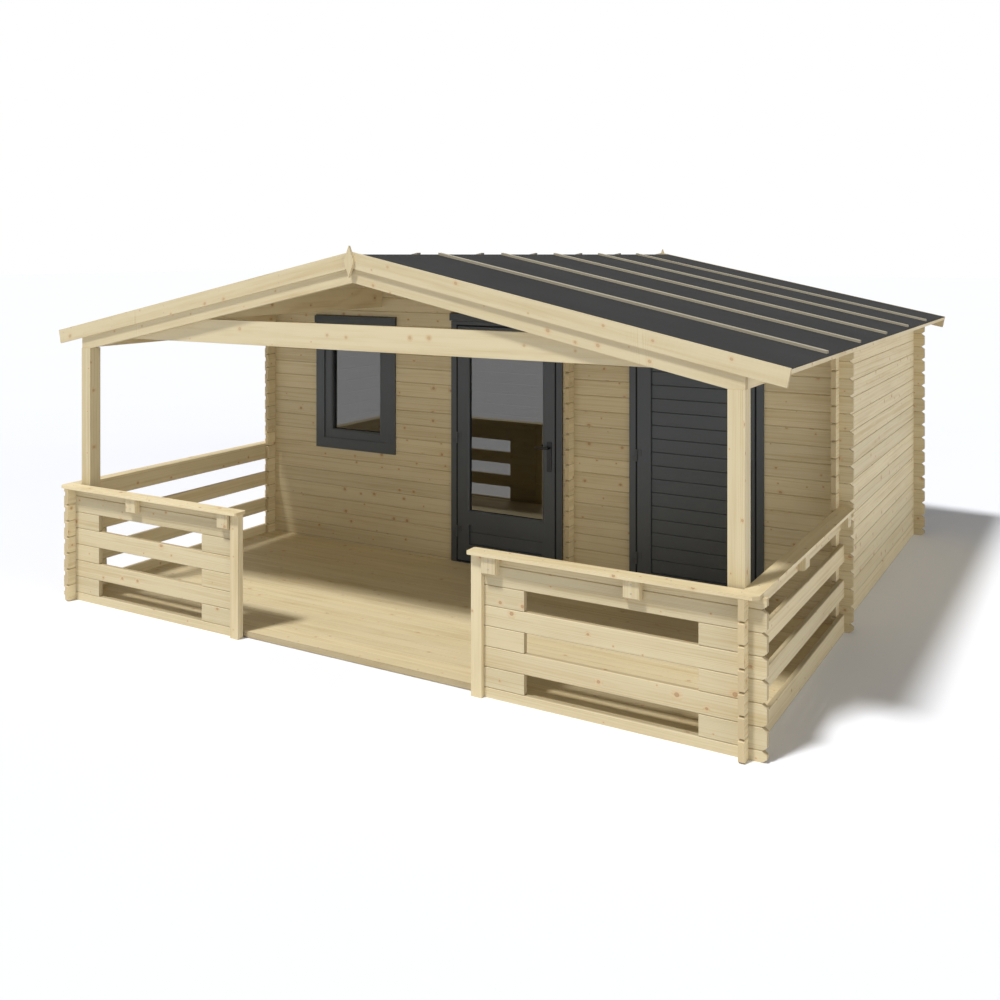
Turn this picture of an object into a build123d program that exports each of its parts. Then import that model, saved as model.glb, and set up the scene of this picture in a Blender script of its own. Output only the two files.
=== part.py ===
from build123d import *
import math
import os

# Log cabin with two rooms behind a covered porch, closed in front by a low log balustrade.
# Millimetres, +Z up. The porch faces -Y and the roof ridge runs along Y above X = 0.
# Places are worked out from the outer face of the cabin's front wall (Y = 0) and the ground
# (Z = 0). save() then moves each solid so that the footprint is centred on the origin.

# Logs
log_h = 121.0
log_t = 34.0
groove = 5.0
overhang = 94.0
courses = 17
cross_cut = 28.0
cross_rise = 20.0
long_cut = 16.0
long_rise = 10.0

# Plan of the cabin and the porch
half_width = 2585.0
cabin_depth = 3045.0
porch_depth = 2185.0
partition_x = 507.0

# Roof
slope = math.tan(math.radians(12.0))
board_t = 19.0
felt_t = 4.0
eave_over = 241.0
eave_trim_t = 18.0
eave_trim_drop = 5.0
ridge_flat = 15.0
roof_set_back = 60.0
roof_over_back = 173.0
barge_t = 20.0
barge_h = 105.0
barge_proud = 2.0
barge_over = 4.0
finial_t = 18.0
finial_above = 39.0
finial_point = 165.0
finial_shoulder = 60.0
finial_half = 38.0
batten_w = 45.0
batten_t = 16.0
batten_pitch = 890.0
batten_ridge_gap = 20.0
batten_eave_gap = 26.0
purlin_w = 45.0
purlin_x = 1347.5
ridge_purlin_h = 151.5

# Porch
post = 95.0
post_set_back = 55.0
beam_w = 45.0
beam_h = 153.0
tie_h = 165.0
tie_drop = 67.0
rail_courses = 7
rail_overhang = 68.0
panel_overhang = 98.0
cap_t = 20.0
cap_w = 104.0
cap_over = 105.0
cap_corner = 30.0
cap_chamfer = 10.0
cap_reach = 14.0
entry_x = 25.0
entry_half = 928.0
entry_post = 71.0
entry_post_d = 50.0
entry_post_proud = 30.0
slot_l = 1055.0
slot_shift = 18.0
side_filler = 290.0
bracket_w = 96.0
bracket_d = 49.0
bracket_h = 110.0
bracket_chamfer = 10.0
bracket_gap = 10.0
bracket_pitch = 902.0
side_bracket_gap = 2.0
side_bracket_pitch = 1125.0
floor_top = 45.0
floor_t = 20.0
floor_board = 96.0
floor_joint = 1.5
fascia_low = 5.0
bearer_w = 60.0
bearer_pitch = 700.0

# Doors and window
frame_w = 60.0
frame_front = -14.0
frame_d = 70.0
frame_lap = 12.0
stop_w = 15.0
stop_d = 21.0
door_w = 1041.0
door_to_partition = 64.0
door_to_corner = 526.0
gap = 5.5
leaf_t = 42.0
head_h = 43.0
sill_h = 60.0
stile = 110.0
bottom_rail = 139.0
mid_rail_low = 364.0
mid_rail_high = 484.0
board_pitch = 101.6
board_groove = 4.0
panel_t = 22.0
panel_back = 16.0
rebate = 12.0
bevel = 14.0
bevel_d = 8.0
glass_t = 6.0
door_glass_back = 26.0
window_to_corner = 536.0
window_w = 872.0
window_low = 877.0
window_frame_w = 92.0
window_frame_d = 80.0
sash_w = 80.0
sash_back = 10.0
sash_t = 56.0
window_glass_back = 40.0
header_t = 28.0
header_over = 9.0
header_fall = 10.0
header_gap = 4.0
window_header_h = 76.0
door_header_h = 68.0

# Door furniture
barrel_r = 7.0
barrel_h = 90.0
barrel_out = 4.5
halves_gap = 0.3
pin_r = 4.0
pin_play = 0.3
hinge_leaf_w = 38.0
hinge_leaf_t = 3.0
hinge_heights = (260.0, 1040.0, 1820.0)
plate_w = 42.0
plate_h = 240.0
plate_t = 6.0
plate_drop = 190.0
plate_corner = 8.0
lock_drop = 92.0
lock_r = 8.5
lock_h = 4.0
key_w = 2.4
key_h = 10.0
lever_z = 1072.0
lever_inset = 47.5
neck_r = 8.0
neck_play = 0.6
neck_room = 3.0
spindle = 8.0
lever_reach = 34.0
lever_l = 105.0
lever_r = 9.0

# Worked out from the sizes above
wall_top = courses * log_h
side_in = half_width - log_t
back_in = cabin_depth - log_t
log_end = half_width + overhang
ridge_z = wall_top + half_width * slope
board_v = board_t * math.sqrt(1 + slope ** 2)
felt_v = felt_t * math.sqrt(1 + slope ** 2)
batten_v = batten_t * math.sqrt(1 + slope ** 2)
eave_x = half_width + eave_over
ridge_flat_z = ridge_z + board_v - ridge_flat
roof_front = -(porch_depth - roof_set_back)
roof_back = cabin_depth + roof_over_back
ridge_purlin_low = ridge_z - ridge_purlin_h
rail_top = rail_courses * log_h
rail_out = half_width + log_t
panel_in = -porch_depth + log_t
panel_end = rail_out + panel_overhang
cap_front = -porch_depth - rail_overhang
cap_back = cap_front + cap_w
cap_out = half_width + cap_over
cap_top = rail_top + cap_t
post_in = half_width - post
post_front = -(porch_depth - post_set_back)
post_back = post_front + post
beam_low = wall_top - beam_h
rafter_back = roof_front + beam_w
tie_back = rafter_back + beam_w
tie_low = wall_top - tie_drop
tie_top = tie_low + tie_h
floor_low = floor_top - floor_t
window_x = -half_width + window_to_corner
window_top = (courses - 0.5) * log_h
glazed_door_x = partition_x - door_to_partition - door_w
plank_door_x = half_width - door_to_corner - door_w
leaf_top = wall_top - head_h
stop_front = frame_front + frame_d - stop_d
axis_y = frame_front - hinge_leaf_t - barrel_out
front_wall_y = -(cap_front + roof_back + barge_t + finial_t) / 2


def roof_z(x):
    """Height of the roof boards' underside."""
    return wall_top + (half_width - abs(x)) * slope


def block(x0, x1, y0, y1, z0, z1):
    return Pos((x0 + x1) / 2, (y0 + y1) / 2, (z0 + z1) / 2) * Box(x1 - x0, y1 - y0, z1 - z0)


def prism_x(outline, x0, x1):
    """Solid with an outline of (y, z) points between two X planes."""
    face = make_face(Polyline(*[(x0, y, z) for y, z in outline], close=True))
    return extrude(face, amount=x1 - x0, dir=(1, 0, 0))


def prism_y(outline, y0, y1):
    """Solid with an outline of (x, z) points between two Y planes."""
    face = make_face(Polyline(*[(x, y0, z) for x, z in outline], close=True))
    return extrude(face, amount=y1 - y0, dir=(0, 1, 0))


def prism_z(outline, z0, z1):
    """Solid with an outline of (x, y) points between two Z planes."""
    face = make_face(Polyline(*[(x, y, z0) for x, y in outline], close=True))
    return extrude(face, amount=z1 - z0, dir=(0, 0, 1))


def flip(shape):
    """The same shape on the other side of the ridge."""
    return mirror(shape, about=Plane.YZ)


def save(name, *shapes):
    solids = [solid for shape in shapes for solid in shape.solids()]
    moved = [solid.moved(Location((0, front_wall_y, 0))) for solid in solids]
    export_step(Compound(children=moved) if len(moved) > 1 else moved[0], f"parts/{name}.step")


os.makedirs("parts", exist_ok=True)

under_roof = prism_y([(-eave_x, -1), (eave_x, -1), (eave_x, roof_z(eave_x)), (0, ridge_z),
                      (-eave_x, roof_z(eave_x))], cap_front, roof_back)


# Log walls. Front and back logs meet half a log above and below each side log, so at a corner
# every log is notched by a quarter of its height and the two walls lock into each other.

def log_outline(near, far, low, high, joints):
    left = []
    for z in joints:
        left += [(near, z - groove), (near + groove, z), (near, z + groove)]
    right = []
    for z in reversed(joints):
        right += [(far, z + groove), (far - groove, z), (far, z - groove)]
    return [(near, low)] + left + [(near, high), (far, high)] + right + [(far, low)]


gable_courses = math.ceil(ridge_z / log_h)


def cross_joints(low, high):
    """Joints of the logs along X."""
    joints = [(k + 0.5) * log_h for k in range(gable_courses)]
    return [z for z in joints if low + groove < z < high - groove]


def long_joints(low, high):
    """Joints of the logs along Y."""
    joints = [k * log_h for k in range(gable_courses)]
    return [z for z in joints if low + groove < z < high - groove]


def cross_wall(x0, x1, y0, low, high):
    return prism_x(log_outline(y0, y0 + log_t, low, high, cross_joints(low, high)), x0, x1)


def long_wall(x0, y0, y1, low, high):
    return prism_y(log_outline(x0, x0 + log_t, low, high, long_joints(low, high)), y0, y1)


def cross_notches(x0, y0, top):
    """Room that a wall along X leaves for the logs of a wall along Y."""
    return [block(x0, x0 + log_t, y0, y0 + log_t, (k + 0.25) * log_h, (k + 0.75) * log_h)
            for k in range(top)]


def long_notches(x0, y0, top):
    """Room that a wall along Y leaves for the logs of a wall along X."""
    return [block(x0, x0 + log_t, y0, y0 + log_t, (k - 0.25) * log_h, (k + 0.25) * log_h)
            for k in range(top + 1)]


def wedge(end, way, z, cut, rise):
    """Chamfers of the two log ends that meet at a joint."""
    over = rise * (cut + 1) / cut
    return [(end - way * cut, z), (end + way, z - over), (end + way, z + over)]


def cross_end_cuts(end, way, y0, joints):
    return [prism_y(wedge(end, way, z, cross_cut, cross_rise), y0 - 1, y0 + log_t + 1)
            for z in joints]


def long_end_cuts(end, way, x0, joints):
    return [prism_x(wedge(end, way, z, long_cut, long_rise), x0 - 1, x0 + log_t + 1)
            for z in joints]


cross_marks = [0.0] + [(k + 0.5) * log_h for k in range(courses)]
long_marks = [k * log_h for k in range(courses)]

beam_seat = block(side_in, half_width, -overhang - 1, 0, beam_low, ridge_z)

# Purlins and ridge purlin, bevelled to the roof
side_purlin = block(purlin_x - purlin_w / 2, purlin_x + purlin_w / 2, rafter_back, roof_back,
                    tie_top, ridge_z) & under_roof
side_purlins = [side_purlin, flip(side_purlin)]
ridge_purlin = block(-purlin_w / 2, purlin_w / 2, rafter_back, roof_back,
                     ridge_purlin_low, ridge_z + 1) & under_roof

# Front wall, cut for the window and the doors
front = cross_wall(-log_end, log_end, 0, 0, wall_top) & under_roof
front -= cross_notches(-half_width, 0, courses) + cross_notches(side_in, 0, courses)
front -= cross_notches(partition_x, 0, courses)
front -= cross_end_cuts(-log_end, -1, 0, cross_marks) + cross_end_cuts(log_end, 1, 0, cross_marks)

window_cut = (window_x + frame_lap, window_x + window_w - frame_lap)
glazed_cut = (glazed_door_x + frame_lap, glazed_door_x + door_w - frame_lap)
plank_cut = (plank_door_x + frame_lap, plank_door_x + door_w - frame_lap)


def front_part(x0, x1, z0=-1.0, z1=wall_top + 1):
    return front & block(x0, x1, -1, log_t + 1, z0, z1)


save("front_wall_left", front_part(-eave_x, window_cut[0]))
save("front_wall_below_window", front_part(*window_cut, z1=window_low + frame_lap))
save("front_wall_above_window", front_part(*window_cut, z0=window_top - frame_lap))
save("front_wall_between", front_part(window_cut[1], glazed_cut[0]))
save("front_wall_middle", front_part(glazed_cut[1], plank_cut[0]))
save("front_wall_right", front_part(plank_cut[1], eave_x))

front_gable = cross_wall(-half_width, half_width, 0, wall_top, ridge_z) & under_roof
front_gable = front_gable - side_purlins - ridge_purlin
save("front_gable", front_gable)

back = cross_wall(-log_end, log_end, back_in, 0, ridge_z) & under_roof
back -= cross_notches(-half_width, back_in, courses) + cross_notches(side_in, back_in, courses)
back -= cross_notches(partition_x, back_in, courses)
back -= cross_end_cuts(-log_end, -1, back_in, cross_marks)
back -= cross_end_cuts(log_end, 1, back_in, cross_marks)
back = back - side_purlins - ridge_purlin
save("back_wall", back)

# Side walls, cut down in front where the eave beams rest on them
side = long_wall(side_in, -overhang, cabin_depth + overhang, 0, wall_top + log_h) & under_roof
side -= long_notches(side_in, 0, courses) + long_notches(side_in, back_in, courses)
side -= long_end_cuts(-overhang, -1, side_in, long_marks)
side -= long_end_cuts(cabin_depth + overhang, 1, side_in, long_marks)
side -= beam_seat
save("left_side_wall", flip(side))
save("right_side_wall", side)

# Partition, which crosses both walls up to their top and runs on between the gables
partition = long_wall(partition_x, -overhang, cabin_depth + overhang, 0, ridge_z) & under_roof
partition -= long_notches(partition_x, 0, courses) + long_notches(partition_x, back_in, courses)
partition -= long_end_cuts(-overhang, -1, partition_x, long_marks)
partition -= long_end_cuts(cabin_depth + overhang, 1, partition_x, long_marks)
partition -= [block(partition_x - 1, partition_x + log_t + 1, y0, y1, wall_top, ridge_z)
              for y0, y1 in ((-overhang - 1, log_t), (back_in, cabin_depth + overhang + 1))]
save("partition_wall", partition)

# Floors and the bearers under them
def boards_along_x(x0, x1, y0, y1):
    """Floor boards with a V-joint between each two."""
    top = [(y0, floor_top)]
    y = y0 + floor_board
    while y < y1 - floor_board / 2:
        top += [(y - floor_joint, floor_top), (y, floor_top - floor_joint),
                (y + floor_joint, floor_top)]
        y += floor_board
    top += [(y1, floor_top)]
    return prism_x([(y0, floor_low)] + top + [(y1, floor_low)], x0, x1)


room_floors = [boards_along_x(-side_in, partition_x, log_t, back_in),
               boards_along_x(partition_x + log_t, side_in, log_t, back_in)]
sills = [block(x, x + door_w, frame_front, frame_front + frame_d, 0, floor_top + 1)
         for x in (glazed_door_x, plank_door_x)]
save("cabin_floor", *[room - sills for room in room_floors])

porch_floor = boards_along_x(-half_width, half_width, panel_in, 0)
porch_floor += block(-half_width, half_width, panel_in, panel_in + floor_t, fascia_low, floor_low)
wall_ends = [block(x, x + log_t, -overhang, 0, 0, floor_top + 1)
             for x in (-half_width, partition_x, side_in)]
save("porch_floor", porch_floor - sills - wall_ends)

bearers = []
for x0, x1 in ((-side_in, partition_x), (partition_x + log_t, side_in)):
    bays = round((x1 - x0) / bearer_pitch)
    for k in range(bays):
        x = x0 + (k + 0.5) * (x1 - x0) / bays - bearer_w / 2
        bearers.append(block(x, x + bearer_w, log_t, back_in, 0, floor_low))
        bearers.append(block(x, x + bearer_w, panel_in + floor_t, 0, 0, floor_low))
save("floor_bearers", *[bearer - sills for bearer in bearers])


# Balustrade beside the entry, described for the right side of the ridge. Its logs are spaced
# apart by short logs at both ends. The caps lie on it and on brackets with a sloped foot.
def entry_post_solid(inner):
    front_y = -porch_depth - entry_post_proud
    return block(inner, inner + entry_post, front_y, front_y + entry_post_d, 0, rail_top)


def front_panel(inner):
    outer = inner + entry_post
    slot = outer + (half_width - outer - slot_l) / 2 + slot_shift
    panel = cross_wall(outer, panel_end, -porch_depth, 0, rail_top)
    panel -= [block(slot, slot + slot_l, -porch_depth - 1, panel_in + 1,
                    (k + 0.5) * log_h, (k + 1.5) * log_h) for k in range(0, rail_courses - 2, 2)]
    panel -= cross_notches(half_width, -porch_depth, rail_courses)
    return panel - cross_end_cuts(panel_end, 1, -porch_depth,
                                  [z for z in cross_marks if z < rail_top])


def front_cap(inner):
    end = inner - cap_reach
    return prism_z([(end, cap_front + cap_chamfer), (end + cap_chamfer, cap_front),
                    (cap_out - cap_corner, cap_front), (cap_out, cap_front + cap_corner),
                    (cap_out, cap_back), (end + cap_chamfer, cap_back),
                    (end, cap_back - cap_chamfer)], rail_top, cap_top)


def bracket_outline(face, way):
    out = face + way * bracket_d
    low = rail_top - bracket_h
    return [(face, low), (face, rail_top), (out, rail_top), (out, low + bracket_chamfer),
            (out - way * bracket_chamfer, low)]


def front_brackets(inner):
    first = inner + entry_post + bracket_gap
    return [prism_x(bracket_outline(-porch_depth, -1), x, x + bracket_w)
            for x in (first, first + bracket_pitch)]


entry_right = entry_half + entry_x
entry_left = entry_half - entry_x
save("entry_posts", entry_post_solid(entry_right), flip(entry_post_solid(entry_left)))
save("front_panel_right", front_panel(entry_right))
save("front_panel_left", flip(front_panel(entry_left)))
save("front_rail_caps", front_cap(entry_right), flip(front_cap(entry_left)))

side_rail = long_wall(half_width, cap_front, 0, 0, rail_top)
side_rail -= [block(half_width - 1, rail_out + 1, -porch_depth + side_filler, 1,
                    k * log_h, (k + 1) * log_h) for k in range(1, rail_courses - 1, 2)]
side_rail -= long_notches(half_width, -porch_depth, rail_courses)
side_rail -= long_end_cuts(cap_front, -1, half_width, [z for z in long_marks if z < rail_top])
save("side_rail_right", side_rail)
save("side_rail_left", flip(side_rail))

side_cap = block(half_width, cap_out, cap_back, 0, rail_top, cap_top)
save("side_rail_caps", side_cap, flip(side_cap))

side_bracket_y = -side_bracket_gap - bracket_w
side_brackets = [prism_y(bracket_outline(rail_out, 1), y, y + bracket_w)
                 for y in (side_bracket_y - side_bracket_pitch, side_bracket_y)]
save("cap_brackets", *front_brackets(entry_right), *side_brackets,
     *[flip(bracket) for bracket in front_brackets(entry_left) + side_brackets])

# Posts, beams and rafters of the porch
corner_post = block(post_in, half_width, post_front, post_back, floor_top, beam_low)
save("corner_posts", corner_post, flip(corner_post))

eave_beam = block(half_width - beam_w, half_width, rafter_back, 0, beam_low, ridge_z) & under_roof
save("eave_beams", eave_beam, flip(eave_beam))

tie = block(-half_width + beam_w, half_width - beam_w, rafter_back, tie_back, tie_low, tie_top)
save("tie_beam", tie & under_roof)

rafter = prism_y([(post_in, beam_low), (half_width, beam_low), (half_width, wall_top),
                  (0, ridge_z), (0, beam_low + post_in * slope)], roof_front, rafter_back)
save("porch_rafters", rafter, flip(rafter))

# Roof
save("side_purlins", *side_purlins)
save("ridge_purlin", ridge_purlin)

board_x = eave_x - eave_trim_t
flat_x = (roof_z(0) + board_v - ridge_flat_z) / slope
roof_boards = prism_y([(0, ridge_z), (0, ridge_flat_z), (flat_x, ridge_flat_z),
                       (board_x, roof_z(board_x) + board_v), (board_x, roof_z(board_x))],
                      roof_front, roof_back)
save("roof_boards_right", roof_boards)
save("roof_boards_left", flip(roof_boards))

felt = prism_y([(0, ridge_flat_z), (0, ridge_flat_z + felt_t), (flat_x, ridge_flat_z + felt_t),
                (eave_x, roof_z(eave_x) + board_v + felt_v), (eave_x, roof_z(eave_x) + board_v),
                (flat_x, ridge_flat_z)], roof_front, roof_back)
save("roof_felt_right", felt)
save("roof_felt_left", flip(felt))

eave_trim_low = roof_z(eave_x) - eave_trim_drop
eave_trim = prism_y([(board_x, eave_trim_low), (eave_x, eave_trim_low),
                     (eave_x, roof_z(eave_x) + board_v), (board_x, roof_z(board_x) + board_v)],
                    roof_front, roof_back)
save("eave_trims", eave_trim, flip(eave_trim))

# Battens that divide the roof's length into equal bays
batten_in = flat_x + batten_ridge_gap
batten_out = eave_x - batten_eave_gap
felt_in = roof_z(batten_in) + board_v + felt_v
felt_out = roof_z(batten_out) + board_v + felt_v
bays = round((roof_back - roof_front) / batten_pitch)
battens = []
for k in range(1, bays):
    y = roof_front + k * (roof_back - roof_front) / bays - batten_w / 2
    strip = prism_y([(batten_in, felt_in), (batten_out, felt_out),
                     (batten_out, felt_out + batten_v), (batten_in, felt_in + batten_v)],
                    y, y + batten_w)
    battens += [strip, flip(strip)]
save("battens", *battens)

# Barge boards and the finials over their joints at the ridge
barge_top = ridge_z + board_v + felt_v + barge_proud
barge_x = eave_x + barge_over
lean = barge_h * slope / (1 + slope ** 2)
barge_outline = [(0, barge_top), (barge_x, barge_top - barge_x * slope),
                 (barge_x - lean, barge_top - barge_h - (barge_x - lean) * slope),
                 (0, barge_top - barge_h)]
for name, y in (("barge_boards_front", roof_front - barge_t), ("barge_boards_back", roof_back)):
    barge = prism_y(barge_outline, y, y + barge_t)
    save(name, barge, flip(barge))

finials = [prism_y([(0, barge_top - finial_point), (finial_half, barge_top - finial_shoulder),
                    (0, barge_top + finial_above), (-finial_half, barge_top - finial_shoulder)],
                   y, y + finial_t)
           for y in (roof_front - barge_t - finial_t, roof_back + barge_t)]
save("finials", *finials)


# Window
def ring(x0, x1, z0, z1, y0, y1, width):
    return block(x0, x1, y0, y1, z0, z1) - block(x0 + width, x1 - width, y0 - 1, y1 + 1,
                                                 z0 + width, z1 - width)


def lap_groove(x0, x1, z0, z1):
    """The part of a log wall that sits in the groove round a frame."""
    hole = block(x0 + frame_lap, x1 - frame_lap, -1, log_t + 1, z0 + frame_lap, z1 - frame_lap)
    return block(x0 - log_t, x1 + log_t, 0, log_t, z0 - log_t, z1 + log_t) - hole


def edge_bevel(x0, x1, z0, z1, face):
    """Cutter that bevels the front edge round an opening."""
    sections = []
    for y, grow in ((face - 1, bevel * (bevel_d + 1) / bevel_d), (face + bevel_d, 0.0)):
        a, b, c, d = x0 - grow, x1 + grow, z0 - grow, z1 + grow
        sections.append(make_face(Polyline((a, y, c), (b, y, c), (b, y, d), (a, y, d), close=True)))
    return loft(sections)


window_far = window_x + window_w
frame = ring(window_x, window_far, window_low, window_top, frame_front,
             frame_front + window_frame_d, window_frame_w)
frame -= lap_groove(window_x, window_far, window_low, window_top)
save("window_frame", frame)

sash = (window_x + window_frame_w, window_far - window_frame_w,
        window_low + window_frame_w, window_top - window_frame_w)
sash_front = frame_front + sash_back
pane = (sash[0] + sash_w, sash[1] - sash_w, sash[2] + sash_w, sash[3] - sash_w)
pane_y = sash_front + window_glass_back
pane_block = block(pane[0] - rebate, pane[1] + rebate, pane_y, pane_y + glass_t,
                   pane[2] - rebate, pane[3] + rebate)
sash_ring = ring(*sash, sash_front, sash_front + sash_t, sash_w)
sash_ring = sash_ring - edge_bevel(*pane, sash_front) - pane_block
save("window_sash", sash_ring)
save("window_glass", pane_block)


# Boards over the window and the doors, sloped to shed water
def header(x0, width, low, height):
    top = low + height
    return prism_x([(0, low), (0, top), (-header_t, top - header_fall), (-header_t, low)],
                   x0 - header_over, x0 + width + header_over)


save("header_trims", header(window_x, window_w, window_top, window_header_h),
     header(glazed_door_x, door_w, wall_top + header_gap, door_header_h),
     header(plank_door_x, door_w, wall_top + header_gap, door_header_h))


# Doors. Both leaves hang on the left and open outwards.
leaf_low = sill_h + gap
head_low = leaf_top + gap
frame_back = frame_front + frame_d


def door_frame(x0):
    x1 = x0 + door_w
    jamb_in = (x0 + frame_w, x1 - frame_w)
    body = block(x0, x1, frame_front, frame_back, 0, wall_top)
    body -= block(*jamb_in, frame_front - 1, stop_front, sill_h, head_low)
    body -= block(jamb_in[0] + stop_w, jamb_in[1] - stop_w, frame_front - 1, frame_back + 1,
                  sill_h + stop_w, head_low - stop_w)
    for side in ((x0 - 1, x0 + frame_lap), (x1 - frame_lap, x1 + 1)):
        body -= block(*side, 0, log_t, -1, wall_top + 1)
    return body


save("glazed_door_frame", door_frame(glazed_door_x))
save("plank_door_frame", door_frame(plank_door_x))


def leaf_edges(x0):
    return x0 + frame_w + gap, x0 + door_w - frame_w - gap


def hinge_x(x0):
    return x0 + frame_w + gap / 2


def lever_x(x0):
    return leaf_edges(x0)[1] - lever_inset


def leaf_blank(x0):
    left, right = leaf_edges(x0)
    blank = block(left, right, frame_front, frame_front + leaf_t, leaf_low, leaf_top)
    bore = Pos(lever_x(x0), frame_front + leaf_t / 2, lever_z) * Rot(90, 0, 0)
    return blank - bore * Cylinder(neck_r + neck_room, leaf_t + 2)


def panel_block(x0, x1, z0, z1, z_from):
    """Boards set in from the back of a leaf, with a V-joint at each board pitch."""
    near = frame_front + panel_back
    far = near + panel_t
    low, high = z0 - rebate, z1 + rebate
    joints = []
    z = z_from
    while z < high - groove:
        if z > low + groove:
            joints.append(z)
        z += board_pitch
    front_edge = []
    for z in joints:
        front_edge += [(near, z - board_groove), (near + board_groove, z),
                       (near, z + board_groove)]
    outline = [(near, low)] + front_edge + [(near, high), (far, high), (far, low)]
    return prism_x(outline, x0 - rebate, x1 + rebate)


def panel_opening(x0, x1, z0, z1):
    through = block(x0, x1, frame_front - 1, frame_front + leaf_t + 1, z0, z1)
    back_part = block(x0 - rebate, x1 + rebate, frame_front + panel_back,
                      frame_front + leaf_t + 1, z0 - rebate, z1 + rebate)
    return through + back_part


# Glazed door
left, right = leaf_edges(glazed_door_x)
light = (left + stile, right - stile, mid_rail_high, leaf_top - stile)
lower = (left + stile, right - stile, leaf_low + bottom_rail, mid_rail_low)
glass_y = frame_front + door_glass_back
door_pane = block(light[0] - rebate, light[1] + rebate, glass_y, glass_y + glass_t,
                  light[2] - rebate, light[3] + rebate)
glazed = leaf_blank(glazed_door_x)
glazed -= block(light[0], light[1], frame_front - 1, frame_front + leaf_t + 1, light[2], light[3])
glazed -= edge_bevel(*light, frame_front)
glazed = glazed - door_pane - panel_opening(*lower)
save("glazed_door_leaf", glazed)
save("glazed_door_glass", door_pane)
save("glazed_door_boards", panel_block(*lower, lower[2]))

# Plank door
left, right = leaf_edges(plank_door_x)
field = (left + stile, right - stile, leaf_low + bottom_rail, leaf_top - stile)
save("plank_door_leaf", leaf_blank(plank_door_x) - panel_opening(*field))
save("plank_door_boards", panel_block(*field, field[2]))


# Hinges: the lower half with its pin is on the frame, the upper half on the leaf
half_barrel = barrel_h / 2 - halves_gap


def frame_hinge(x, z):
    mid = z + barrel_h / 2
    pin = Pos(x, axis_y, mid) * Cylinder(pin_r, barrel_h)
    low = Pos(x, axis_y, z + half_barrel / 2) * Cylinder(barrel_r, half_barrel)
    flap = block(x - hinge_leaf_w, x, frame_front - hinge_leaf_t, frame_front,
                 z, z + half_barrel)
    return low + flap + pin


def leaf_hinge(x, z):
    top = z + barrel_h
    high = Pos(x, axis_y, top - half_barrel / 2) * Cylinder(barrel_r, half_barrel)
    flap = block(x, x + hinge_leaf_w, frame_front - hinge_leaf_t, frame_front,
                 top - half_barrel, top)
    bore = Pos(x, axis_y, z + barrel_h / 2) * Cylinder(pin_r + pin_play, barrel_h + 2)
    return high + flap - bore


save("hinge_pins", *[frame_hinge(hinge_x(x), z)
                     for x in (glazed_door_x, plank_door_x) for z in hinge_heights])
save("glazed_door_hinges", *[leaf_hinge(hinge_x(glazed_door_x), z) for z in hinge_heights])
save("plank_door_hinges", *[leaf_hinge(hinge_x(plank_door_x), z) for z in hinge_heights])


# Handles: a long plate on each face with a lock cylinder, and one lever through both
def along_y(x, z, y0, y1, radius):
    return Pos(x, (y0 + y1) / 2, z) * Rot(90, 0, 0) * Cylinder(radius, y1 - y0)


leaf_back = frame_front + leaf_t
lock_z = lever_z - lock_drop


def handle_plate(x, face, way):
    """Plate on a leaf's face, with the lock cylinder that stands out of it."""
    outer = face + way * plate_t
    near, far = sorted((face, outer))
    plate = block(x - plate_w / 2, x + plate_w / 2, near, far,
                  lever_z - plate_drop, lever_z - plate_drop + plate_h)
    plate = fillet(plate.edges().filter_by(Axis.Y), plate_corner)
    plate += along_y(x, lock_z, *sorted((outer, outer + way * lock_h)), lock_r)
    plate -= block(x - key_w / 2, x + key_w / 2, near - lock_h - 1, far + lock_h + 1,
                   lock_z - key_h / 2, lock_z + key_h / 2)
    return plate - along_y(x, lever_z, near - 1, far + 1, neck_r + neck_play)


def handle_plates(x0):
    x = lever_x(x0)
    return [handle_plate(x, frame_front, -1), handle_plate(x, leaf_back, 1)]


def lever(x0):
    x = lever_x(x0)
    near, far = frame_front - lever_reach, leaf_back + lever_reach
    bar = block(x - spindle / 2, x + spindle / 2, near, far,
                lever_z - spindle / 2, lever_z + spindle / 2)
    bar += along_y(x, lever_z, near, frame_front + lock_h, neck_r)
    bar += along_y(x, lever_z, leaf_back - lock_h, far, neck_r)
    for y in (near, far):
        grip = Pos(x - lever_l / 2, y, lever_z) * Rot(0, 90, 0) * Cylinder(lever_r, lever_l)
        bar += grip + Pos(x, y, lever_z) * Sphere(lever_r + 1)
        bar += Pos(x - lever_l, y, lever_z) * Sphere(lever_r)
    return bar


save("glazed_door_handle_plates", *handle_plates(glazed_door_x))
save("plank_door_handle_plates", *handle_plates(plank_door_x))
save("glazed_door_lever", lever(glazed_door_x))
save("plank_door_lever", lever(plank_door_x))
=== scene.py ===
import math

import bmesh
import bpy
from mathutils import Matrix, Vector


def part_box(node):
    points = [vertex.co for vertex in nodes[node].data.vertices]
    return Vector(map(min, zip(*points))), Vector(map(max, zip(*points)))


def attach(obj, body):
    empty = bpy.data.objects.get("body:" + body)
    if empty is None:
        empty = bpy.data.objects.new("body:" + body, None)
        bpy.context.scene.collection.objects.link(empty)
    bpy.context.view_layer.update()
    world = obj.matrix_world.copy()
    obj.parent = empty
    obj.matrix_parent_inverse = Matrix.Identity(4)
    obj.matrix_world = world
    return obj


# The dressed log cabin: grained and knotty spruce, dark painted joinery, roofing felt, panes,
# fasteners, and the pale studio that the photograph shows. Metres, in the frame of the model.

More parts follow.
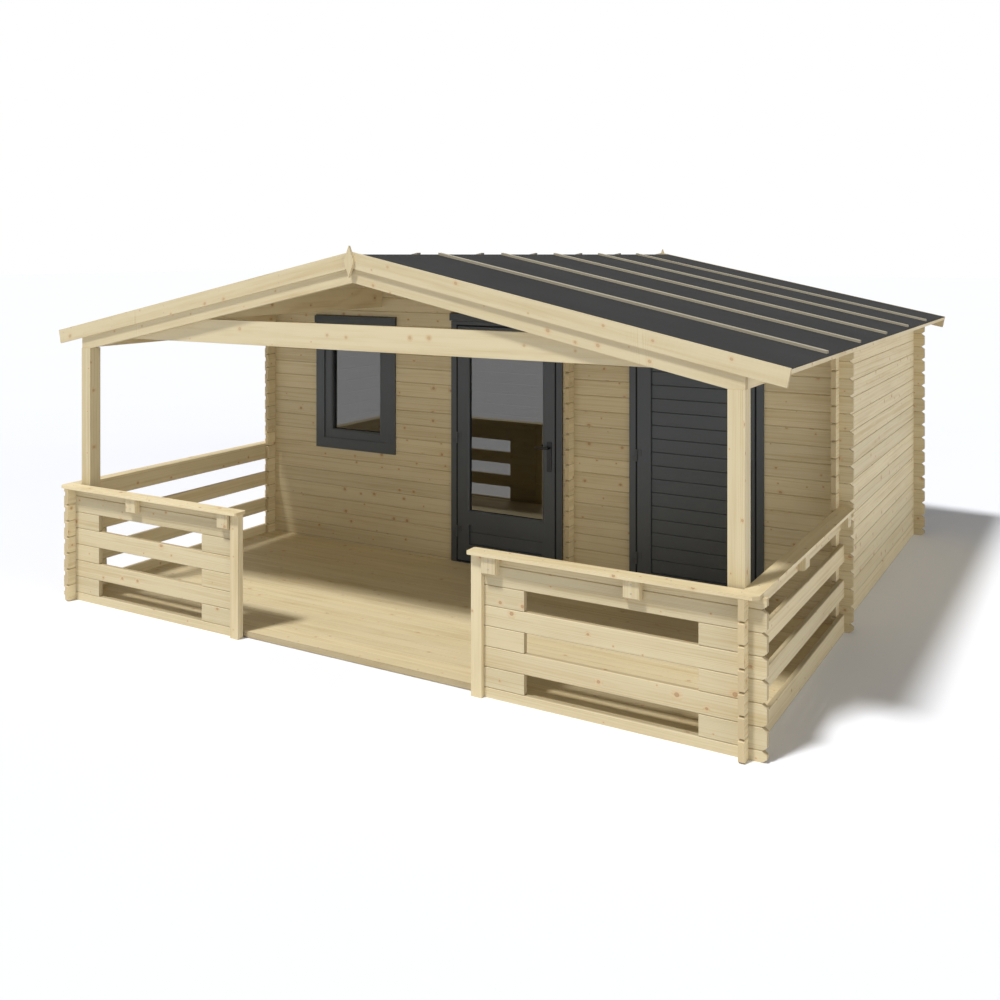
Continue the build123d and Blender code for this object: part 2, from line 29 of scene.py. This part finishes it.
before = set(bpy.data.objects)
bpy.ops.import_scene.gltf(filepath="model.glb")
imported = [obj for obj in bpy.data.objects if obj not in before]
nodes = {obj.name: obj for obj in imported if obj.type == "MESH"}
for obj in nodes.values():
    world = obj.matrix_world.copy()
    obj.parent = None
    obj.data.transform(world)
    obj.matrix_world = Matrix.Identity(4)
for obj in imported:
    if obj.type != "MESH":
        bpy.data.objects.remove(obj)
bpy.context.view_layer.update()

# Sizes that the wood follows
log_h = 0.121
floor_board = 0.096
roof_board = 0.096
roof_lean = math.radians(12.0)
roof_slope = math.tan(roof_lean)
front_wall_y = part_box("front_gable")[0][1]


# Shader sums

class Wire:
    """An output of a node, so that shader sums read as Python sums."""

    def __init__(self, tree, socket=None):
        self.tree = tree
        self.socket = socket

    def node(self, kind, settings=(), inputs=(), out=0):
        """Adds a node with its settings and the values or links of its sockets.

        It gives the output with the number out, or the node itself where out is None.
        """
        made = self.tree.nodes.new("ShaderNode" + kind)
        for name, value in dict(settings).items():
            setattr(made, name, value)
        for name, value in dict(inputs).items():
            if isinstance(value, Wire):
                self.tree.links.new(value.socket, made.inputs[name])
            else:
                made.inputs[name].default_value = value
        return Wire(self.tree, made.outputs[out]) if out is not None else made

    def math(self, operation, a, b=0.0):
        return self.node("Math", {"operation": operation}, {0: a, 1: b})

    def __add__(self, other):
        return self.math("ADD", self, other)

    def __radd__(self, other):
        return self.math("ADD", other, self)

    def __sub__(self, other):
        return self.math("SUBTRACT", self, other)

    def __rsub__(self, other):
        return self.math("SUBTRACT", other, self)

    def __mul__(self, other):
        return self.math("MULTIPLY", self, other)

    def __truediv__(self, other):
        return self.math("DIVIDE", self, other)

    def __mod__(self, other):
        return self.math("MODULO", self, other)

    def __abs__(self):
        return self.math("ABSOLUTE", self)

    def floor(self):
        return self.math("FLOOR", self)

    def fract(self):
        return self.math("FRACT", self)

    def sine(self):
        return self.math("SINE", self)

    def root(self):
        return self.math("SQRT", self)

    def larger(self, other):
        return self.math("MAXIMUM", self, other)

    def step(self, low, high, start=0.0, end=1.0):
        """Goes smoothly from start to end while the value goes from low to high."""
        return self.node("MapRange", {"interpolation_type": "SMOOTHSTEP"},
                         {"Value": self, "From Min": low, "From Max": high,
                          "To Min": start, "To Max": end})


def mix(start, end, amount):
    """A colour between two colours, of which one or the amount varies."""
    wire = next(item for item in (amount, start, end) if isinstance(item, Wire))
    colours = [item if isinstance(item, Wire) else (*item, 1.0) for item in (start, end)]
    return wire.node("Mix", {"data_type": "RGBA"}, {0: amount, 6: colours[0], 7: colours[1]}, 2)


def dim(colour, amount):
    """A colour multiplied by a number."""
    return amount.node("VectorMath", {"operation": "SCALE"}, {0: colour, 3: amount})


def noise(vector, scale, detail=3.0, rough=0.5):
    return vector.node("TexNoise", {"noise_dimensions": "3D"},
                       {"Vector": vector, "Scale": scale, "Detail": detail, "Roughness": rough})


def cells(vector, dimensions, scale, randomness=1.0):
    """The distance to the middle of the nearest cell, and three random numbers of that cell."""
    made = vector.node("TexVoronoi", {"voronoi_dimensions": dimensions},
                       {"Vector": vector, "Scale": scale, "Randomness": randomness}, None)
    distance, colour = (Wire(vector.tree, made.outputs[name]) for name in ("Distance", "Color"))
    return distance, parts_of(colour)


def vector_of(x, y, z=0.0):
    return x.node("CombineXYZ", (), {0: x, 1: y, 2: z})


def parts_of(vector):
    made = vector.node("SeparateXYZ", (), {0: vector}, None)
    return [Wire(vector.tree, made.outputs[k]) for k in range(3)]


def chance(number, seed):
    """A random number from 0 to 1 for each whole number."""
    return number.node("TexWhiteNoise", {"noise_dimensions": "1D"}, {"W": number + seed})


def bump(height, distance, strength):
    return height.node("Bump", (), {"Strength": strength, "Distance": distance, "Height": height})


class Finish:
    """A material under way: its places, the way its faces look and its one surface shader."""

    def __init__(self, name):
        self.material = bpy.data.materials.new(name)
        self.material.use_nodes = True
        tree = self.material.node_tree
        tree.nodes.clear()
        self.start = Wire(tree)
        self.place = self.start.node("TexCoord", (), (), "Object")
        self.facing = self.start.node("TexCoord", (), (), "Normal")

    def surface(self, **inputs):
        """Ends the material with a principled shader. Underscores in names stand for spaces."""
        named = {key.replace("_", " "): value for key, value in inputs.items()}
        for key in ("Base Color", "Specular Tint"):
            if key in named and not isinstance(named[key], Wire):
                named[key] = (*named[key], 1.0)
        shader = self.start.node("BsdfPrincipled", (), named)
        self.start.node("OutputMaterial", (), {"Surface": shader}, None)
        return self.material


# Spruce

spruce_light = (0.700, 0.600, 0.385)
spruce_dark = (0.545, 0.425, 0.225)
spruce_warm = (0.640, 0.500, 0.270)
spruce_end = (0.560, 0.450, 0.270)
knot_heart = (0.330, 0.165, 0.075)
knot_rim = (0.200, 0.095, 0.042)
knot_glow = (0.600, 0.400, 0.220)
# Painted shade for the grooves and gaps where logs and boards meet
joint_shade = (0.150, 0.100, 0.048)
weathered = (0.300, 0.285, 0.245)

knot_cells_per_m = 6.2
knot_least = 0.022
knot_growth = 0.062
ring_radians_per_m = 950.0
end_ring_radians_per_m = 1500.0
heart_depth = 0.02
# How dark the painted groove shade is between the log ends
joint_shade_on_ends = 0.75


def grain_axes(grain, place, facing):
    """Places along and across the grain and into the wood, and how far faces are ends or lie flat."""
    x, y, z = parts_of(place)
    facing_x, facing_y, facing_z = [abs(part) for part in parts_of(facing)]
    if grain == "x":
        return x, z, y, facing_x, facing_z
    if grain == "y":
        return y, z, x, facing_y, facing_z
    if grain == "z":
        return z, x, y, facing_z, facing_x
    side = abs(x)
    across = z * math.cos(roof_lean) + side * math.sin(roof_lean)
    return side / math.cos(roof_lean), across, y, facing_x, facing_z


def knot_parts(finish, along, face_across, number, luck, strength):
    """Hearts, rims and halos of knots, which lie in about half the cells of a loose net.

    The net is drawn on each face and starts anew on each board.
    """
    net = vector_of(along + luck * 41.0, face_across * 1.15 + number * 0.73)
    distance, draws = cells(net, "2D", knot_cells_per_m, 0.9)
    present = draws[0].step(0.50, 0.54) * strength
    size = knot_least + draws[1] * draws[1] * knot_growth
    wobble = noise(finish.place, 85.0, 2.0) * 0.35 + 0.82
    near = distance / (size * wobble)
    heart = near.step(1.0, 0.80) * present
    rim = near.step(1.22, 1.00) * near.step(0.66, 0.96) * present
    halo = near.step(3.4, 1.0) * present
    return heart, rim, halo


def ring_reach(along, across, deep, offset, luck, other):
    """How far the wood lies from the heart of its tree, which runs unevenly beside the plank."""
    sway = noise(vector_of(along * 0.55, across * 1.5, deep * 1.5 + other * 30.0), 1.0, 2.0)
    sideways = offset - (luck - 0.5) * 0.05 + (sway - 0.5) * 0.07
    depth = ((deep + 50.0) % 0.19) * 0.25 + heart_depth + other * 0.05
    return (sideways * sideways + depth * depth).root()


def spruce(name, grain, board, light=1.0, seed=0.0, knots=1.0, joint=None, grey=0.0):
    """Planed spruce with its grain along x, y, z or the roof slope.

    board gives the axis across which the boards follow each other, their pitch and where
    the first one starts; each board has its own grain, tone and knots. joint gives half the
    width and the strength of the dark lines of painted shade in the grooves and gaps where
    these boards meet, and grey how far the wood has turned grey.
    """
    finish = Finish(name)
    along, across, deep, end_facing, lying = grain_axes(grain, finish.place, finish.facing)
    axis, pitch, start = board
    place = dict(zip("xyz", parts_of(finish.place)))[axis]
    count = (place - start) / pitch
    number = count.floor()
    luck = chance(number, seed + 0.5)
    other = chance(number, seed + 71.5)

    face_across = across + (deep - across) * lying.step(0.60, 0.75)
    heart, rim, halo = knot_parts(finish, along, face_across, number, luck, knots)

    # Late wood darkens the outside of each yearly ring, and the rings bend round the knots
    offset = across if axis == grain else (place - start) - (number + 0.5) * pitch
    ring = ring_reach(along, across, deep, offset, luck, other)
    phase = ring * ring_radians_per_m + halo * 4.0 + noise(finish.place, 9.0, 2.0) * 1.5
    wave = phase.sine() * 0.5 + 0.5
    late = wave * wave

    # Fibres, streaks and clouds, each wider than the one before
    fibre = noise(vector_of(along * 3.0, across * 170.0, deep * 170.0), 1.0, 3.0, 0.6) - 0.5
    streak = noise(vector_of(along * 0.8, across * 24.0 + other * 9.0, deep * 24.0), 1.0, 3.0, 0.6)
    cloud = noise(vector_of(along * 1.6, across * 7.0 + luck * 20.0, deep * 7.0), 1.0, 3.0, 0.6)
    darker = late * 0.32 + (streak - 0.5) * 1.35 + fibre * 0.40 + (cloud - 0.5) * 0.9 + 0.16
    grained = mix(spruce_light, spruce_dark, (darker + halo * 0.15).step(0.0, 1.0))
    # light makes this copy of the spruce lighter or darker, which paints the light and shade that its
    # part gets
    toned = dim(grained, (0.935 + luck * 0.11) * light)
    warmed = mix(toned, spruce_warm, other * 0.16)
    face_colour = mix(warmed, knot_glow, halo * 0.45)

    # Sawn ends show the rings from the end, and are darker, with fine checks
    end = end_facing.step(0.42, 0.60)
    end_ring = (ring * end_ring_radians_per_m).sine() * 0.5 + 0.5
    cracks = noise(vector_of(along * 2.0, across * 34.0, deep * 120.0), 1.0, 4.0, 0.7)
    checks = cracks.step(0.60, 0.70)
    end_colour = dim(mix(spruce_end, spruce_dark, end_ring * 0.45 + checks * 0.5),
                     (0.90 + luck * 0.12) * light)

    planed = 1.0 - end
    colour = mix(face_colour, end_colour, end)
    colour = mix(colour, knot_heart, heart * planed * 0.54)
    colour = mix(colour, knot_rim, rim * planed * 0.42)
    if grey:
        colour = mix(colour, weathered, grey)
    # Painted shade along the grooves and gaps where the boards meet, darker on the log ends
    if joint:
        half, dark = joint
        beside = abs((count + 0.5).fract() - 0.5) * pitch
        line = beside.step(half, half * 0.35)
        colour = mix(colour, joint_shade, line * (dark + end * (joint_shade_on_ends - dark)))

    rough = 0.58 + late * 0.10 + fibre * 0.18 + end * 0.15
    height = late * 0.25 + fibre * 0.6 + heart * 0.8 + checks * end * -1.5
    return finish.surface(Base_Color=colour, Roughness=rough, Normal=bump(height, 0.0006, 0.6),
                          Specular_IOR_Level=0.35)


# Axis, pitch and start of the courses, boards or parts that differ in grain and tone
cross_course = ("z", log_h, -log_h / 2)
long_course = ("z", log_h, 0.0)
floor_row = ("y", floor_board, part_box("porch_floor")[0][1])
roof_row = ("y", roof_board, 0.0)
each_post = ("x", 0.3, 0.05)
each_cross_beam = ("y", 0.06, 0.011)
each_long_beam = ("x", 0.4, 0.2)
each_batten = ("y", 0.89, 0.2)
slope_halves = ("x", 4.0, -4.0)
cap_halves = ("x", 3.0, -3.0)

# Half the width of the dark lines of painted shade in the grooves and gaps between boards
log_groove = 0.0030
floor_gap = 0.0014
roof_gap = 0.0022

# Lit and shaded copies of the spruce: light paints each part lighter or darker for the light and shade
# it gets, and for the battens it is also part of their own grey tone
cross_logs = spruce("cross_logs", "x", cross_course, light=0.91, seed=3.0,
                    joint=(log_groove, 0.20))
rail_logs = spruce("rail_logs", "x", cross_course, light=0.86, seed=7.0, joint=(log_groove, 0.34))
long_logs = spruce("long_logs", "y", long_course, seed=11.0, joint=(log_groove, 0.40))
upright = spruce("upright_posts", "z", each_post, light=0.88, seed=23.0, knots=0.9)
entry_wood = spruce("entry_posts", "z", each_post, seed=23.0, knots=0.9)
cross_beams = spruce("cross_beams", "x", each_cross_beam, light=0.90, seed=31.0, knots=0.6)
long_beams = spruce("long_beams", "y", each_long_beam, seed=37.0)
sloped_boards = spruce("sloped_boards", "slope", slope_halves, light=0.87, seed=41.0, knots=0.75)
floor_boards = spruce("floor_boards", "x", floor_row, light=0.96, seed=43.0, knots=0.6,
                      joint=(floor_gap, 0.40))
roof_boards = spruce("roof_boards", "slope", roof_row, seed=47.0, joint=(roof_gap, 0.40))
cap_cross = spruce("cap_boards", "x", cap_halves, light=1.06, seed=53.0)
cap_long = spruce("side_cap_boards", "y", cap_halves, light=1.03, seed=59.0)
batten_wood = spruce("batten_wood", "slope", each_batten, light=0.70, seed=61.0, knots=0.4,
                     grey=0.55)


# Paint, felt, glass, metal and rubber

paint_colour = (0.049, 0.056, 0.060)
felt_dark = (0.0260, 0.0262, 0.0258)
felt_light = (0.0355, 0.0355, 0.0348)
pane_tint = (0.24, 0.23, 0.20)
pane_mirror = (0.96, 0.95, 0.92)
rubber_black = (0.006, 0.006, 0.0065)
hinge_grey = (0.048, 0.052, 0.055)
handle_black = (0.013, 0.013, 0.014)
zinc = (0.42, 0.41, 0.38)


def painted(name, grain):
    """Satin paint on wood, with the grain just showing through and a few softer patches."""
    finish = Finish(name)
    x, y, z = parts_of(finish.place)
    if grain == "z":
        stretched = vector_of(x * 90.0, y * 90.0, z * 2.5)
    else:
        stretched = vector_of(x * 2.5, y * 90.0, z * 90.0)
    lines = noise(stretched, 1.0, 3.0, 0.6)
    cloud = noise(finish.place, 2.3, 3.0)
    strokes = noise(stretched, 3.0, 2.0, 0.5)
    shade = 0.90 + cloud * 0.14 + (lines - 0.5) * 0.16
    rough = 0.40 + (cloud - 0.5) * 0.16 + (lines - 0.5) * 0.14
    return finish.surface(Base_Color=dim(paint_colour, shade), Roughness=rough,
                          Normal=bump(lines * 0.7 + strokes * 0.3, 0.0005, 0.5))


def felt():
    """Bitumen roofing felt with slate chips and a few slow waves."""
    finish = Finish("roofing_felt")
    x, y, z = parts_of(finish.place)
    grit = cells(finish.place, "3D", 420.0)[1][0]
    cloud = noise(finish.place, 1.3, 4.0, 0.6)
    waves = noise(vector_of(x * 2.2, y * 0.8, z), 1.0, 2.0)
    shade = 0.70 + grit * 0.46 + (cloud - 0.5) * 0.30
    return finish.surface(Base_Color=dim(mix(felt_dark, felt_light, cloud), shade),
                          Roughness=0.90 + grit * 0.08, Specular_IOR_Level=0.12,
                          Normal=bump(grit * 0.25 + waves * 6.0, 0.0012, 0.5))


def glass():
    """Dark tinted panes that mirror the porch, with hardly any waves and a few dull patches."""
    finish = Finish("window_glass")
    waves = noise(finish.place, 1.1, 1.0)
    patches = noise(finish.place, 6.0, 4.0, 0.6)
    return finish.surface(Base_Color=pane_tint, Specular_Tint=pane_mirror, IOR=2.12,
                          Roughness=patches.step(0.55, 0.95, 0.0, 0.012),
                          Transmission_Weight=1.0, Normal=bump(waves, 0.0002, 0.02))


def metal(name, colour, rough, metallic):
    """Metal with a fine grain and rubbed, smoother patches."""
    finish = Finish(name)
    grain = noise(finish.place, 900.0, 2.0)
    cloud = noise(finish.place, 18.0, 3.0)
    return finish.surface(Base_Color=dim(colour, 0.88 + cloud * 0.20), Metallic=metallic,
                          Roughness=rough + (cloud - 0.5) * 0.2, Normal=bump(grain, 0.0002, 0.35))


def rubber():
    """Black sealing rubber, slightly dusty."""
    finish = Finish("black_rubber")
    dust = noise(finish.place, 60.0, 3.0)
    return finish.surface(Base_Color=dim(rubber_black, 0.7 + dust * 0.6), Specular_IOR_Level=0.2,
                          Roughness=0.6 + dust * 0.25, Normal=bump(dust, 0.0002, 0.3))


dark_paint_up = painted("dark_paint_up", "z")
dark_paint_across = painted("dark_paint_across", "x")
felt_finish = felt()
glass_finish = glass()
seal_finish = rubber()
hinge_metal = metal("hinge_metal", hinge_grey, 0.42, 0.1)
handle_metal = metal("handle_metal", handle_black, 0.36, 0.2)
screw_metal = metal("screw_metal", zinc, 0.35, 0.9)

finish_of = {
    cross_logs: ["front_wall_left", "front_wall_below_window", "front_wall_above_window",
                 "front_wall_between", "front_wall_middle", "front_wall_right", "front_gable",
                 "back_wall"],
    rail_logs: ["front_panel_left", "front_panel_right"],
    long_logs: ["left_side_wall", "right_side_wall", "partition_wall", "side_rail_left",
                "side_rail_right"],
    upright: ["corner_posts", "cap_brackets", "finials"],
    entry_wood: ["entry_posts"],
    cross_beams: ["tie_beam"],
    long_beams: ["eave_beams", "side_purlins", "ridge_purlin", "eave_trims", "floor_bearers"],
    sloped_boards: ["porch_rafters", "barge_boards_front", "barge_boards_back"],
    floor_boards: ["porch_floor", "cabin_floor"],
    roof_boards: ["roof_boards_left", "roof_boards_right"],
    cap_cross: ["front_rail_caps"],
    cap_long: ["side_rail_caps"],
    batten_wood: ["battens"],
    dark_paint_up: ["window_frame", "window_sash", "glazed_door_frame", "plank_door_frame",
                    "glazed_door_leaf", "plank_door_leaf"],
    dark_paint_across: ["header_trims", "glazed_door_boards", "plank_door_boards"],
    felt_finish: ["roof_felt_left", "roof_felt_right"],
    glass_finish: ["window_glass", "glazed_door_glass"],
    hinge_metal: ["hinge_pins", "glazed_door_hinges", "plank_door_hinges"],
    handle_metal: ["glazed_door_handle_plates", "plank_door_handle_plates",
                   "glazed_door_lever", "plank_door_lever"],
}
for finish, names in finish_of.items():
    for name in names:
        for spot in nodes[name].material_slots:
            spot.material = finish


# Fittings that are too small for the model: seals, screws and nails

doors = ("glazed", "plank")
door_frame_w = 0.060
hinge_flap_t = 0.003
lock_plate_t = 0.004
pane_rebate = 0.012

seal_lip = 0.008
seal_in_gap = 0.0035
seal_proud = 0.0009
seal_depth = 0.009
pane_seal_foot = 0.0005
pane_seal_w = 0.0045
pane_seal_t = 0.004

screw_sides = 12
screw_rings = ((1.0, 0.0), (0.93, 0.16), (0.42, 0.24), (0.36, -0.25))
batten_screw_r = 0.0045
cap_screw_r = 0.0042
bracket_screw_r = 0.0045
hinge_screw_r = 0.0038
plate_screw_r = 0.0036
nail_r = 0.0030


def new_piece(name, mesh_maker, finish, body):
    """A piece built in a fresh mesh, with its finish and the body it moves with."""
    mesh = bpy.data.meshes.new(name)
    made = bmesh.new()
    mesh_maker(made)
    made.normal_update()
    made.to_mesh(mesh)
    made.free()
    piece = bpy.data.objects.new(name, mesh)
    bpy.context.collection.objects.link(piece)
    mesh.materials.append(finish)
    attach(piece, body)


def strip_round(made, opening, profile):
    """A strip mitred round an upright opening.

    opening holds its low x, high x, low z and high z, and profile the strip's section as
    points of how far inside the opening's edge and at which y.
    """
    left, right, low, high = opening
    corners = [(left, low, 1, 1), (right, low, -1, 1), (right, high, -1, -1), (left, high, 1, -1)]
    rows = [[made.verts.new((x + way_x * inside, y, z + way_z * inside)) for inside, y in profile]
            for x, z, way_x, way_z in corners]
    for k, row in enumerate(rows):
        following = rows[(k + 1) % len(rows)]
        for j in range(len(profile)):
            i = (j + 1) % len(profile)
            made.faces.new((row[j], following[j], following[i], row[i]))
    bmesh.ops.recalc_face_normals(made, faces=made.faces[:])


def door_seal(door):
    """Rubber between a door frame and its leaf: a rounded lip on the frame, a foot in the gap."""
    low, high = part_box(f"{door}_door_frame")
    leaf_low, leaf_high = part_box(f"{door}_door_leaf")
    jamb_left, jamb_right = low[0] + door_frame_w, high[0] - door_frame_w
    gap = leaf_low[0] - jamb_left
    opening = (jamb_left, jamb_right, leaf_low[2] - gap, leaf_high[2] + gap)
    face = low[1]
    crown = face - seal_proud
    back = face + seal_depth
    profile = [(-seal_lip, face), (-seal_lip * 0.8, crown + seal_proud * 0.3),
               (-seal_lip * 0.4, crown), (0.0, crown + seal_proud * 0.1),
               (seal_in_gap * 0.6, face + 0.001), (seal_in_gap, face + 0.003),
               (seal_in_gap, back), (0.0, back), (0.0, face)]
    new_piece(f"{door}_door_seal", lambda made: strip_round(made, opening, profile),
              seal_finish, "cabin")


def pane_seal(name, pane, body):
    """Rubber round the visible part of a pane, on both of its faces."""
    low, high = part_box(pane)
    opening = (low[0] + pane_rebate, high[0] - pane_rebate,
               low[2] + pane_rebate, high[2] - pane_rebate)
    for side, face, way in (("front", low[1], -1), ("back", high[1], 1)):
        profile = [(-pane_seal_foot, face), (-pane_seal_foot, face + way * pane_seal_t),
                   (pane_seal_w * 0.6, face + way * pane_seal_t * 0.85),
                   (pane_seal_w, face + way * pane_seal_t * 0.4), (pane_seal_w, face)]
        new_piece(f"{name}_{side}_seal", lambda made: strip_round(made, opening, profile),
                  seal_finish, body)


def screw_head(made, spot, outward, radius):
    """A round head with a recess in its middle, lying on a face."""
    turn = Vector(outward).to_track_quat("Z", "Y").to_matrix().to_4x4()
    turn.translation = Vector(spot)
    angles = [math.tau * k / screw_sides for k in range(screw_sides)]
    rings = [[made.verts.new(turn @ Vector((radius * share * math.cos(angle),
                                            radius * share * math.sin(angle),
                                            radius * height))) for angle in angles]
             for share, height in screw_rings]
    for inner, outer in zip(rings[1:], rings):
        for k in range(screw_sides):
            following = (k + 1) % screw_sides
            made.faces.new((outer[k], outer[following], inner[following], inner[k]))
    made.faces.new(rings[-1])


def screws(name, spots, outward, radius, body, finish=screw_metal):
    def make(made):
        for spot in spots:
            screw_head(made, spot, outward, radius)
    new_piece(name, make, finish, body)


def islands(node):
    """The lowest and highest corners of each separate solid of a node."""
    mesh = nodes[node].data
    places = [tuple(round(c, 5) for c in vertex.co) for vertex in mesh.vertices]
    leader = {place: place for place in places}

    def root(place):
        while leader[place] != place:
            place = leader[place]
        return place

    for edge in mesh.edges:
        first, second = (root(places[k]) for k in edge.vertices)
        leader[max(first, second)] = min(first, second)
    groups = {}
    for place in leader:
        groups.setdefault(root(place), []).append(place)
    return [([min(c) for c in zip(*group)], [max(c) for c in zip(*group)])
            for _, group in sorted(groups.items())]


def evenly(low, high, inset, spacing):
    """Places along a length, with the first and last set in from its ends."""
    count = max(1, round((high - low - 2 * inset) / spacing))
    return [low + inset + k * (high - low - 2 * inset) / count for k in range(count + 1)]


def middle_of(low, high):
    return [(a + b) / 2 for a, b in zip(low, high)]


def batten_screws():
    from_end, spacing = 0.04, 0.45
    for side, name in ((-1, "left"), (1, "right")):
        spots = []
        for low, high in islands("battens"):
            middle = middle_of(low, high)
            if side * middle[0] < 0:
                continue
            inner, outer = sorted((abs(low[0]), abs(high[0])))
            for reach in evenly(inner, outer, from_end, spacing):
                spots.append((side * reach, middle[1], high[2] - (reach - inner) * roof_slope))
        outward = (side * math.sin(roof_lean), 0, math.cos(roof_lean))
        screws(f"batten_screws_{name}", spots, outward, batten_screw_r, "cabin")


def cap_screws():
    from_end, cross_spacing, long_spacing = 0.10, 0.40, 0.45
    spots = []
    for low, high in islands("front_rail_caps"):
        y = middle_of(low, high)[1]
        spots += [(x, y, high[2]) for x in evenly(low[0], high[0], from_end, cross_spacing)]
    for low, high in islands("side_rail_caps"):
        x = middle_of(low, high)[0]
        spots += [(x, y, high[2]) for y in evenly(low[1], high[1], from_end, long_spacing)]
    screws("cap_screws", spots, (0, 0, 1), cap_screw_r, "cabin")


def bracket_screws():
    above_foot, below_top = 0.035, 0.025
    faces = {"front": ((0, -1, 0), []), "left": ((-1, 0, 0), []), "right": ((1, 0, 0), [])}
    panel_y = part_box("front_panel_left")[0][1]
    for low, high in islands("cap_brackets"):
        middle = middle_of(low, high)
        heights = (low[2] + above_foot, high[2] - below_top)
        if low[1] < panel_y:
            faces["front"][1].extend((middle[0], low[1], z) for z in heights)
        elif middle[0] < 0:
            faces["left"][1].extend((low[0], middle[1], z) for z in heights)
        else:
            faces["right"][1].extend((high[0], middle[1], z) for z in heights)
    for name, (outward, spots) in faces.items():
        screws(f"bracket_screws_{name}", spots, outward, bracket_screw_r, "cabin")


def hinge_screws():
    from_edge = (0.010, 0.024)
    from_tip = (0.012, 0.033)
    forward = (0, -1, 0)
    spots = [(low[0] + along, high[1] - hinge_flap_t, low[2] + rise)
             for low, high in islands("hinge_pins") for along, rise in zip(from_edge, from_tip)]
    screws("frame_hinge_screws", spots, forward, hinge_screw_r, "cabin", hinge_metal)
    for door in doors:
        flaps = islands(f"{door}_door_hinges")
        spots = [(high[0] - along, high[1] - hinge_flap_t, high[2] - drop)
                 for low, high in flaps for along, drop in zip(from_edge, from_tip)]
        screws(f"{door}_door_hinge_screws", spots, forward, hinge_screw_r, f"{door}_door",
               hinge_metal)


def plate_screws():
    from_end = 0.012
    for door in doors:
        leaf_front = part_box(f"{door}_door_leaf")[0][1]
        for number, (low, high) in enumerate(islands(f"{door}_door_handle_plates")):
            x = middle_of(low, high)[0]
            if low[1] < leaf_front:
                y, way = low[1] + lock_plate_t, -1
            else:
                y, way = high[1] - lock_plate_t, 1
            screws(f"{door}_door_plate_screws_{number}",
                   [(x, y, low[2] + from_end), (x, y, high[2] - from_end)], (0, way, 0),
                   plate_screw_r, f"{door}_door", handle_metal)


def barge_nails():
    from_ridge, from_eave, spacing = 0.06, 0.05, 0.60
    below_top = (0.028, 0.078)
    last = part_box("eave_trims")[1][0] - from_eave
    for name, way in (("front", -1), ("back", 1)):
        spots = []
        for low, high in islands(f"barge_boards_{name}"):
            side = 1 if low[0] + high[0] > 0 else -1
            y = low[1] if way < 0 else high[1]
            for reach in evenly(from_ridge, last, 0.0, spacing):
                spots += [(side * reach, y, high[2] - reach * roof_slope - drop) for drop in below_top]
        screws(f"barge_nails_{name}", spots, (0, way, 0), nail_r, "cabin")


for door in doors:
    door_seal(door)
pane_seal("glazed_door_pane", "glazed_door_glass", "glazed_door")
pane_seal("window_pane", "window_glass", "cabin")
batten_screws()
cap_screws()
bracket_screws()
hinge_screws()
plate_screws()
barge_nails()


# Studio: a pale floor, one soft high sun from the front left, two weak and very soft lamps
# from the right and the front, and an even pale sky

floor_size = 240.0
floor_dark = (0.87, 0.885, 0.93)
floor_light = (0.89, 0.905, 0.95)
sky_level = 0.21
camera_place = (4.322, front_wall_y - 7.682, 2.615)
camera_turn = 30.109
camera_lens = 39.03
camera_shift = -0.2456


def studio_floor():
    finish = Finish("studio_floor")
    soft = noise(finish.place, 0.4, 2.0)
    bpy.ops.mesh.primitive_plane_add(size=floor_size, location=(0.0, 0.0, 0.0))
    floor = bpy.context.active_object
    floor.name = "floor"
    floor.data.materials.append(finish.surface(Base_Color=mix(floor_dark, floor_light, soft),
                                               Roughness=0.9, Specular_IOR_Level=0.0))


def studio_sky():
    """White where it is seen, mirrored or looked at through glass, and dimmer as a light."""
    world = bpy.data.worlds.new("studio_sky")
    bpy.context.scene.world = world
    world.use_nodes = True
    world.node_tree.nodes.clear()
    start = Wire(world.node_tree)
    path = start.node("LightPath", (), (), None)
    seen, mirrored, through = (Wire(start.tree, path.outputs[f"Is {ray} Ray"])
                               for ray in ("Camera", "Glossy", "Transmission"))
    shown = seen.larger(mirrored).larger(through)
    strength = sky_level + shown * (1.0 - sky_level)
    sky = start.node("Background", (), {"Color": (1.0, 1.0, 1.0, 1.0), "Strength": strength})
    start.node("OutputWorld", (), {"Surface": sky}, None)


def sun(name, travel, strength, spread):
    lamp = bpy.data.lights.new(name, "SUN")
    lamp.energy = strength
    lamp.angle = math.radians(spread)
    held = bpy.data.objects.new(name, lamp)
    held.rotation_euler = Vector(travel).to_track_quat("-Z", "Y").to_euler()
    bpy.context.collection.objects.link(held)


def camera():
    """A level camera, with its picture shifted down so that upright lines stay parallel."""
    data = bpy.data.cameras.new("camera")
    data.lens = camera_lens
    data.sensor_width = 36.0
    data.shift_y = camera_shift
    data.clip_end = 500.0
    held = bpy.data.objects.new("camera", data)
    held.location = camera_place
    held.rotation_euler = (math.radians(90.0), 0.0, math.radians(camera_turn))
    bpy.context.collection.objects.link(held)
    bpy.context.scene.camera = held


studio_floor()
studio_sky()
sun("main_sun", travel=(0.22, 0.49, -1.0), strength=3.00, spread=8.0)
sun("right_fill", travel=(-1.0, 0.3, -0.14), strength=1.02, spread=40.0)
sun("front_fill", travel=(0.15, 1.0, -0.12), strength=0.27, spread=40.0)
camera()
bpy.context.scene.view_settings.view_transform = "Standard"
